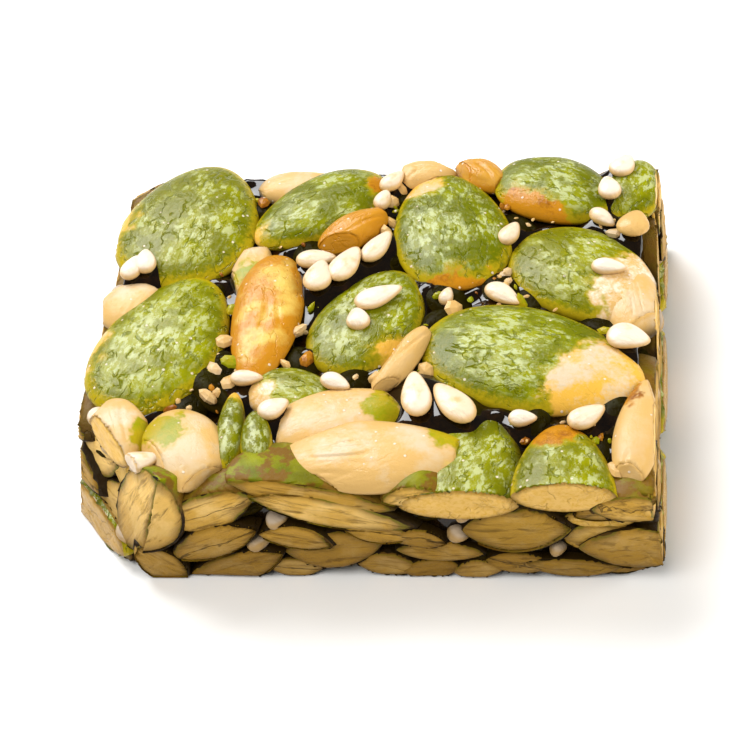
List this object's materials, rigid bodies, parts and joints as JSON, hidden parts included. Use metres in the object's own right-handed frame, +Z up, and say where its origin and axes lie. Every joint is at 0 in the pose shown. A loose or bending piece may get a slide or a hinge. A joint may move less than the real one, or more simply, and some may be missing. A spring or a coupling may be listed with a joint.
{
  "type": "seed brittle piece",
  "caption": "Hand-cut rectangular piece of seed brittle: flat pumpkin kernels and sesame pressed in layers in dark set syrup, cut kernels showing at its sides, one corner broken.",
  "frame": {"origin": "middle of the underside's bounding rectangle, at the height of the surface that the piece lies on", "axes": "+Z up through the layers; X along the long cut side; -Y towards the front cut, whose left end is the broken corner"},
  "size_m": [0.042, 0.036, 0.01],
  "materials": {
    "green_kernels": "syrup-glazed olive green skin with paler wrinkles and yellow-green rims",
    "golden_kernels": "glazed toasted kernel, golden to orange-brown",
    "cream_kernels": "glazed peeled kernel, cream with green remains of skin",
    "cut_kernels": "dull cream-tan flesh where the knife went through, thin green skin round it",
    "sesame": "glazed pale cream",
    "syrup": "dark brown set syrup, glossy"
  },
  "bodies": {
    "root": {"brittle": "green_kernels"}
  },
  "joints": []
}
